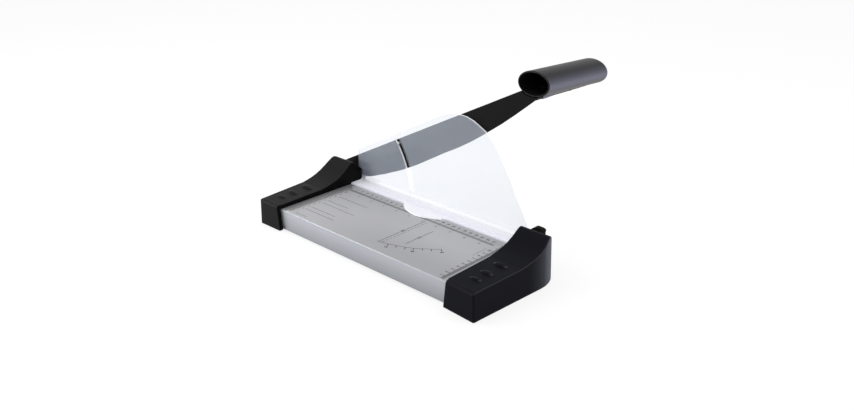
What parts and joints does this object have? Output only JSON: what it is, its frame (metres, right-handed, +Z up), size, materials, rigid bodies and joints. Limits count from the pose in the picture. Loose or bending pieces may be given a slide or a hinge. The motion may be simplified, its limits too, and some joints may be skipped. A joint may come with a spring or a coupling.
{
  "type": "guillotine paper cutter",
  "caption": "Desktop guillotine paper cutter: printed bed between end caps, hinged blade arm with a cross grip, clear guard and arm latch.",
  "frame": {"origin": "middle of the whole cutter seen from above, arm raised, on the plane its feet stand on", "axes": "+X along the cut, from the pivot to the grip; +Y from the front edge towards the blade; +Z up"},
  "size_m": [0.4256, 0.302, 0.2546],
  "materials": {
    "bed": "pale grey printed table top; brushed silver front wall",
    "bed_knife": "ground steel strip",
    "left_end_cap": "black, finely textured satin",
    "right_end_cap": "black, finely textured satin",
    "knife_screw_1": "zinc plated steel",
    "knife_screw_2": "zinc plated steel",
    "knife_screw_3": "zinc plated steel",
    "knife_screw_4": "zinc plated steel",
    "knife_nut_1": "zinc plated steel",
    "knife_nut_2": "zinc plated steel",
    "left_foot_1": "dull black rubber",
    "left_foot_2": "dull black rubber",
    "right_foot_1": "dull black rubber",
    "right_foot_2": "dull black rubber",
    "left_cap_screw_1": "zinc plated steel",
    "left_cap_screw_2": "zinc plated steel",
    "right_cap_screw_1": "zinc plated steel",
    "right_cap_screw_2": "zinc plated steel",
    "pivot_bracket": "zinc plated steel",
    "pivot_bushing": "zinc plated steel",
    "pivot_head_washer": "zinc plated steel",
    "pivot_bolt": "zinc plated steel",
    "pivot_inner_washer": "zinc plated steel",
    "pivot_nut_washer": "zinc plated steel",
    "pivot_lock_nut": "zinc plated steel",
    "pivot_spring": "drawn spring wire",
    "latch_pin": "plain steel",
    "blade_arm": "matt black coated steel with a ground edge",
    "grip": "dark grey satin",
    "grip_screw_1": "zinc plated steel",
    "grip_screw_2": "zinc plated steel",
    "guide_stud": "zinc plated steel",
    "guard": "clear acrylic, polished",
    "arm_latch": "black satin"
  },
  "bodies": {
    "base": {"bed": "bed", "bed_knife": "bed_knife", "left_end_cap": "left_end_cap", "right_end_cap": "right_end_cap", "knife_screw_1": "knife_screw_1", "knife_screw_2": "knife_screw_2", "knife_screw_3": "knife_screw_3", "knife_screw_4": "knife_screw_4", "knife_nut_1": "knife_nut_1", "knife_nut_2": "knife_nut_2", "left_foot_1": "left_foot_1", "left_foot_2": "left_foot_2", "right_foot_1": "right_foot_1", "right_foot_2": "right_foot_2", "left_cap_screw_1": "left_cap_screw_1", "left_cap_screw_2": "left_cap_screw_2", "right_cap_screw_1": "right_cap_screw_1", "right_cap_screw_2": "right_cap_screw_2", "pivot_bracket": "pivot_bracket", "pivot_bushing": "pivot_bushing", "pivot_head_washer": "pivot_head_washer", "pivot_bolt": "pivot_bolt", "pivot_inner_washer": "pivot_inner_washer", "pivot_nut_washer": "pivot_nut_washer", "pivot_lock_nut": "pivot_lock_nut", "pivot_spring": "pivot_spring", "latch_pin": "latch_pin"},
    "arm": {"blade_arm": "blade_arm", "grip": "grip", "grip_screw_1": "grip_screw_1", "grip_screw_2": "grip_screw_2", "guide_stud": "guide_stud"},
    "guard": {"guard": "guard"},
    "latch": {"arm_latch": "arm_latch"}
  },
  "joints": [
    {"name": "arm_hinge", "type": "hinge", "parent": "base", "child": "arm", "pos_m": [-0.18708, 0.01945, 0.032], "axis": [0, 1, 0], "range_deg": [-2.5, 30]},
    {"name": "guard_lift", "type": "slide", "parent": "base", "child": "guard", "axis": [0, 0, 1], "range_m": [0, 0.0015]},
    {"name": "latch_hinge", "type": "hinge", "parent": "base", "child": "latch", "pos_m": [0.16312, 0.00314, 0.04], "axis": [-1, 0, 0], "range_deg": [0, 34]}
  ]
}
